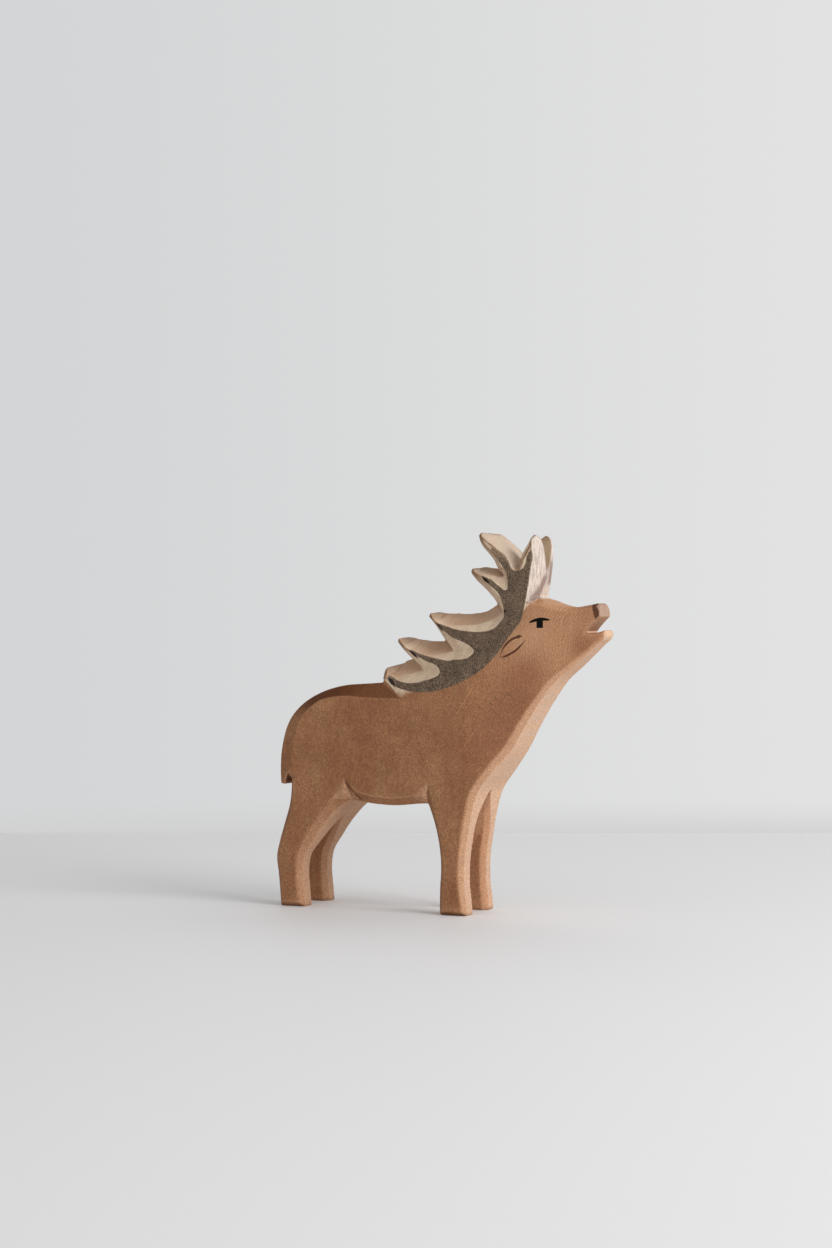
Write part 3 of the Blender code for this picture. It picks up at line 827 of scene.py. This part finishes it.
def bare_wood(g, x, y, z, nx, ny, nz, place, patch):
    """Unstained antler wood: worn rims, and painted shade on hollow floors, roofs and undersides.
    """
    side = g.math("ABSOLUTE", ny)
    bare = g.mix(g.ramp(patch, 0.35, 0.65), srgb(*BARE_LIGHT), srgb(*BARE_DARK))
    # Painted shade on the roofs of the points, which face up and back, away from the window.
    roof = g.product(g.ramp(side, 0.8, 0.45), g.ramp(nx, 0.5, 0.0), g.ramp(z, *BELOW_TOPS))
    bare = g.wash(bare, BARE_ROOF_SHADE, roof, 0.75)
    bare = g.wash(bare, BARE_TIP, browned_tips(g, x, z, patch), 0.7)
    top = g.product(g.ramp(z, *ABOVE_EARS), g.ramp(nx, 0.1, 0.4))
    bare = g.wash(bare, BARE_TOP, top, 0.8)
    # Painted shade in the concave hollows of the antlers.
    bare = g.wash(bare, BARE_CREASE_SHADE, g.ramp(g.attribute("bend"), -0.004, -0.03), 0.5)
    worn = g.product(g.ramp(g.attribute("bend"), 0.004, 0.02), g.ramp(nx, 0.7, 0.2),
                     g.ramp(patch, 0.3, 0.6, 0.45, 0.95))
    bare = g.wash(bare, BARE_WORN, worn)
    # Painted shade on the undersides of the antlers.
    under = g.product(g.ramp(nz, -0.15, -0.6), g.ramp(z, *ABOVE_SHOULDER))
    bare = g.wash(bare, BARE_UNDER_SHADE, under, 0.45)
    front = g.product(g.ramp(nx, 0.1, 0.35), g.ramp(x, *FRONT_AHEAD))
    bare = g.wash(bare, BARE_FRONT, front, 0.8)
    bare = g.wash(bare, BARE_GRAIN, g.product(front, front_grain(g, y, z, place)), 0.95)
    # Painted shade on the far wall of the groove in the foremost point.
    inner = g.product(g.ramp(ny, -0.4, -0.7), g.ramp(y, *GROOVE_FAR_WALL),
                      g.ramp(z, *GROOVE_WALL_RISE))
    return g.wash(bare, GROOVE_WALL_SHADE, inner, 0.8)


def grey_wood(g, x, z, patch):
    """Grey panel of the antlers, warmer near the tip of the fifth point."""
    grey = g.mix(g.ramp(patch, 0.3, 0.7), srgb(*GREY_LIGHT), srgb(*GREY_DARK))
    near_tip = g.product(g.ramp(z, *FIFTH_TIP_RISE), g.ramp(x, *FIFTH_TIP_BEHIND))
    return g.wash(grey, GREY_WARM, near_tip, 0.75)


def paint_masks(g, x, z, wobble):
    """Where the wood isn't brown, fading out below the first point, and where it is grey."""
    fade = g.product(g.ramp(x, *FADE_BEHIND), g.ramp(x, *FADE_AHEAD), g.ramp(z, *FADE_BELOW))
    is_pale = g.ramp(g.math("ADD", g.attribute("pale"), wobble),
                     g.math("MULTIPLY_ADD", fade, -0.5, -0.15),
                     g.math("MULTIPLY_ADD", fade, 2.6, 0.15))
    grey_line = g.math("MINIMUM", g.math("ADD", g.attribute("grey"), 0.25),
                       g.math("ADD", g.attribute("flat"), 0.35))
    grey_line = g.math("ADD", grey_line, g.math("MULTIPLY", wobble, 0.5))
    return is_pale, g.ramp(grey_line, -0.15, 0.15)


def nose_and_jaw(g, colour, x, z, nx, nz, wobble):
    """Nose, the facet under the upper lip, and the paler tip of the jaw."""
    in_mouth = g.product(g.ramp(nz, -0.3, -0.5), g.ramp(x, *MOUTH_AHEAD), g.ramp(z, *MOUTH_RISE))
    is_nose = g.ramp(g.math("ADD", g.attribute("nose"), wobble), -0.15, 0.15)
    nose = g.mix(g.ramp(nx, 0.3, 0.85), srgb(*NOSE_SIDE), srgb(*NOSE_FRONT))
    nose = g.wash(nose, NOSE_UNDER, in_mouth)
    colour = g.mix(g.math("MAXIMUM", is_nose, in_mouth), colour, nose)
    jaw_tip = g.product(g.ramp(x, *JAW_TIP_AHEAD), g.ramp(nx, 0.6, 0.8),
                        g.ramp(z, *JAW_TIP_BELOW))
    return g.wash(colour, JAW_TIP, jaw_tip, 0.35)


def pores(g, colour, x, z, speck, fine, is_pale, is_grey):
    """Speckle of pores: strongest on the grey panel, weak on bare wood and on the head."""
    is_bare = g.math("MULTIPLY", is_pale, g.math("SUBTRACT", 1.0, is_grey))
    on_face = g.math("MULTIPLY", head_share(g, x, z), g.math("SUBTRACT", 1.0, is_pale))
    strength = g.math("MULTIPLY_ADD", is_bare, -0.6, 1.0)
    strength = g.math("MULTIPLY_ADD", is_grey, 1.1, strength)
    strength = g.math("MULTIPLY_ADD", on_face, -0.4, strength)
    coarse = g.ramp(speck, 0.65, 0.33, -0.26, 0.26)
    colour = g.tone(colour, g.math("MULTIPLY_ADD", coarse, strength, 1.0))
    small = g.ramp(fine, 0.68, 0.32, -0.16, 0.16)
    return g.tone(colour, g.math("MULTIPLY_ADD", small, strength, 1.0))


def growth_marks(g, colour, x, z, place, level, patch, is_pale):
    """Growth rings of the head, and the dark lines and light scratches of the neck."""
    warp = g.math("SUBTRACT", g.noise(place, *RING_NOISE), 0.5)
    radius = g.away_from(x, z, RING_CENTRE)
    ring = g.math("MULTIPLY_ADD", warp, RING_WARP, radius)
    ring = g.math("SINE", g.math("MULTIPLY", ring, RING_DENSITY))
    brow = g.product(g.ramp(z, *BROW_RISE), g.ramp(x, *BROW_AHEAD, 1.2, 1.9))
    ring = g.product(ring, g.ramp(radius, *RING_REACH), level, g.math("SUBTRACT", 1.0, is_pale),
                     g.math("MAXIMUM", brow, g.ramp(patch, 0.3, 0.7, 0.5, 1.3)), 0.075)
    colour = g.tone(colour, g.math("ADD", ring, 1.0))
    lines = g.product(strokes(g, x, z, GROWTH_LINES), level, 0.4)
    light = g.product(strokes(g, x, z, SCRATCHES), level, 0.28)
    return g.tone(colour, g.math("ADD", g.math("SUBTRACT", 1.0, lines), light))


def lid_line(g, arch, across, shape):
    bow, tilt, height = shape
    return g.math("MULTIPLY_ADD", arch, bow, g.math("MULTIPLY_ADD", across, tilt, height))


def face_marks(g, x, z, level):
    """Eye and ear as two masks on the sides of the head."""
    across = g.math("DIVIDE", g.math("SUBTRACT", x, EYE_CENTRE_X), EYE_HALF)
    arch = g.math("MULTIPLY", across, across)
    lid = g.math("MINIMUM", g.math("SUBTRACT", z, lid_line(g, arch, across, LID_UNDER)),
                 g.math("SUBTRACT", lid_line(g, arch, across, LID_OVER), z))
    lid = g.math("MULTIPLY", g.ramp(lid, -0.06, 0.1), g.ramp(arch, 1.1, 0.95))
    pupil = box_stroke(g, x, z, PUPIL_CENTRE, PUPIL_HALF)
    eye = g.math("MULTIPLY", g.math("MAXIMUM", lid, pupil), level)
    above = g.math("GREATER_THAN", z, g.math("MULTIPLY_ADD", x, *EAR_MIDLINE))
    upper = g.math("MAXIMUM", arc_stroke(g, x, z, *EAR_UPPER), arc_stroke(g, x, z, *EAR_UPPER_END))
    upper = g.math("MULTIPLY", upper, above)
    lower = g.math("MULTIPLY", arc_stroke(g, x, z, *EAR_LOWER), g.math("SUBTRACT", 1.0, above))
    return eye, g.math("MULTIPLY", g.math("ADD", upper, lower, clamp=True), level)


def relief(g, speck, fine, ear):
    """Pores and the scorched ear as a faint relief."""
    height = g.math("ADD", g.math("MULTIPLY", speck, 0.6), g.math("MULTIPLY", fine, 0.4))
    height = g.math("SUBTRACT", height, g.math("MULTIPLY", ear, EAR_DEPTH))
    bump = g.tree.nodes.new("ShaderNodeBump")
    bump.inputs["Strength"].default_value = BUMP_STRENGTH
    bump.inputs["Distance"].default_value = BUMP_DISTANCE
    g.put(bump.inputs["Height"], height)
    return bump.outputs["Normal"]


def stained_wood():
    g = Graph("stained_wood")
    place = g.place_mm()
    x, y, z = g.split(place)
    nx, ny, nz = g.normal()
    level = g.ramp(g.math("ABSOLUTE", ny), 0.5, 0.8)

    wobble = g.math("MULTIPLY", g.math("SUBTRACT", g.noise(place, *EDGE_NOISE), 0.5), 0.4)
    speck = g.noise(place, *SPECK_NOISE)
    fine = g.noise(place, *FINE_NOISE)
    cloud = g.noise(place, *CLOUD_NOISE)
    patch = g.noise(place, *PATCH_NOISE)

    is_pale, is_grey = paint_masks(g, x, z, wobble)
    colour = g.mix(is_pale, brown_wood(g, x, y, z, nx, ny, nz, cloud, patch),
                   bare_wood(g, x, y, z, nx, ny, nz, place, patch))
    colour = g.mix(is_grey, colour, grey_wood(g, x, z, patch))
    colour = nose_and_jaw(g, colour, x, z, nx, nz, wobble)
    colour = pores(g, colour, x, z, speck, fine, is_pale, is_grey)
    colour = growth_marks(g, colour, x, z, place, level, patch, is_pale)
    eye, ear = face_marks(g, x, z, level)
    colour = g.wash(colour, EYE_INK, eye)
    colour = g.wash(colour, EAR_INK, ear, 0.9)
    # Painted shade in the knife cuts at the antler tips.
    cut_shade = g.math("MULTIPLY", strokes(g, x, z, KNIFE_SHADE_LINES), level)
    colour = g.wash(colour, KNIFE_CUT_SHADE, cut_shade, 0.95)

    g.put(g.shader.inputs["Base Color"], colour)
    roughness = g.math("MAXIMUM", eye, g.ramp(speck, 0.3, 0.7, 0.6, 0.75))
    g.put(g.shader.inputs["Roughness"], roughness)
    g.shader.inputs["Specular IOR Level"].default_value = SPECULAR
    g.put(g.shader.inputs["Normal"], relief(g, speck, fine, ear))
    return g.material


def photo_axes():
    """Toward the camera, to its right, and the place it aims at on the table."""
    back = Vector((math.sin(CAMERA_TURN), -math.cos(CAMERA_TURN), 0))
    right = Vector((math.cos(CAMERA_TURN), math.sin(CAMERA_TURN), 0))
    return back, right, Vector((CAMERA_AIM_X, 0, 0))


def white_table():
    g = Graph("white_table")
    g.shader.inputs["Base Color"].default_value = srgb(*TABLE_WHITE)
    g.shader.inputs["Roughness"].default_value = TABLE_ROUGHNESS
    return g.material


def table():
    back, right, origin = photo_axes()
    far = origin - back * TABLE_EDGE
    near = origin + back * TABLE_REACH
    aside = right * TABLE_REACH
    data = bpy.data.meshes.new("table")
    data.from_pydata([near - aside, near + aside, far + aside, far - aside], [], [(0, 1, 2, 3)])
    data.materials.append(white_table())
    top = bpy.data.objects.new("table", data)
    bpy.context.scene.collection.objects.link(top)
    return top


def area_light(name, place, aim, size, power, tint):
    data = bpy.data.lights.new(name, "AREA")
    data.shape = "RECTANGLE"
    data.size, data.size_y = size
    data.energy = power
    data.color = tint
    light = bpy.data.objects.new(name, data)
    light.location = place
    light.rotation_euler = (Vector(aim) - Vector(place)).to_track_quat("-Z", "Y").to_euler()
    bpy.context.scene.collection.objects.link(light)


def wall_shares(tree, right):
    """How far to the right the wall is, and how near it is to the table's far edge."""
    places = tree.nodes.new("ShaderNodeTexCoord").outputs["Generated"]
    dot = tree.nodes.new("ShaderNodeVectorMath")
    dot.operation = "DOT_PRODUCT"
    tree.links.new(places, dot.inputs[0])
    dot.inputs[1].default_value = right
    split = tree.nodes.new("ShaderNodeSeparateXYZ")
    tree.links.new(places, split.inputs[0])
    shares = []
    for socket, stretch in ((dot.outputs["Value"], WALL_ACROSS), (split.outputs[2], WALL_DOWN)):
        limit = tree.nodes.new("ShaderNodeMapRange")
        limit.interpolation_type = "SMOOTHSTEP"
        tree.links.new(socket, limit.inputs["Value"])
        limit.inputs["From Min"].default_value = stretch[0]
        limit.inputs["From Max"].default_value = stretch[1]
        shares.append(limit.outputs["Result"])
    return shares


def blended(tree, share, a, b):
    mix = tree.nodes.new("ShaderNodeMix")
    mix.data_type = "RGBA"
    tree.links.new(share, mix.inputs["Factor"])
    for socket, colour in ((mix.inputs[6], a), (mix.inputs[7], b)):
        if isinstance(colour, bpy.types.NodeSocket):
            tree.links.new(colour, socket)
        else:
            socket.default_value = colour
    return mix.outputs[2]


def lit_from(place):
    """A light's place in the frame: right of, toward the camera from, and above its aim."""
    back, right, origin = photo_axes()
    return origin + right * place[0] + back * place[1] + Vector((0, 0, place[2]))


def room():
    """A pale room that lights the figure, and a wall with painted light that only the camera sees.
    """
    world = bpy.data.worlds.new("soft_room")
    world.use_nodes = True
    tree = world.node_tree
    light = tree.nodes["Background"]
    light.inputs["Color"].default_value = ROOM_TINT
    light.inputs["Strength"].default_value = ROOM_LIGHT
    across, down = wall_shares(tree, photo_axes()[1])
    wall = tree.nodes.new("ShaderNodeBackground")
    # The wall's tone is painted light: lighter toward the window, painted shade down at its foot.
    shade = blended(tree, across, srgb(*WALL_LEFT_SHADED), srgb(*WALL_RIGHT_LIT))
    shade = blended(tree, down, shade, srgb(*WALL_FOOT_SHADE))
    tree.links.new(shade, wall.inputs["Color"])
    path = tree.nodes.new("ShaderNodeLightPath")
    blend = tree.nodes.new("ShaderNodeMixShader")
    tree.links.new(path.outputs["Is Camera Ray"], blend.inputs[0])
    tree.links.new(light.outputs[0], blend.inputs[1])
    tree.links.new(wall.outputs[0], blend.inputs[2])
    tree.links.new(blend.outputs[0], tree.nodes["World Output"].inputs["Surface"])
    bpy.context.scene.world = world


def lights():
    """A window on the camera's right, and a dim ceiling behind the figure."""
    area_light("window", lit_from(WINDOW_PLACE), WINDOW_AIM, WINDOW_SIZE, WINDOW_LIGHT,
               WINDOW_TINT)
    ceiling = lit_from(CEILING_PLACE)
    area_light("ceiling", ceiling, (ceiling.x, ceiling.y, 0), CEILING_SIZE, CEILING_LIGHT,
               CEILING_TINT)


def camera():
    back, _, origin = photo_axes()
    data = bpy.data.cameras.new("camera")
    data.lens = LENS
    data.sensor_width = FILM_WIDTH
    stand = bpy.data.objects.new("camera", data)
    stand.location = origin + back * CAMERA_AWAY + Vector((0, 0, CAMERA_HEIGHT))
    stand.rotation_euler = (-back).to_track_quat("-Z", "Y").to_euler()
    bpy.context.scene.collection.objects.link(stand)
    bpy.context.scene.camera = stand


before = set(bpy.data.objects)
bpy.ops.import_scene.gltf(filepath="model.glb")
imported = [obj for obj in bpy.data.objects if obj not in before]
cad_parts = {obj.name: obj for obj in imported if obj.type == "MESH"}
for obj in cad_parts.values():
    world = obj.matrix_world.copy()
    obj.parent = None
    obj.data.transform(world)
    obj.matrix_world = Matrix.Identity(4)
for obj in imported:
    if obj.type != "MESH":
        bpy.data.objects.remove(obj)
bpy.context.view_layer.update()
piece = carve(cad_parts["stag"])
piece.data.materials.append(stained_wood())
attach(piece, "root")
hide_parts("stag")
table()
room()
lights()
camera()
bpy.context.scene.view_settings.view_transform = "Standard"
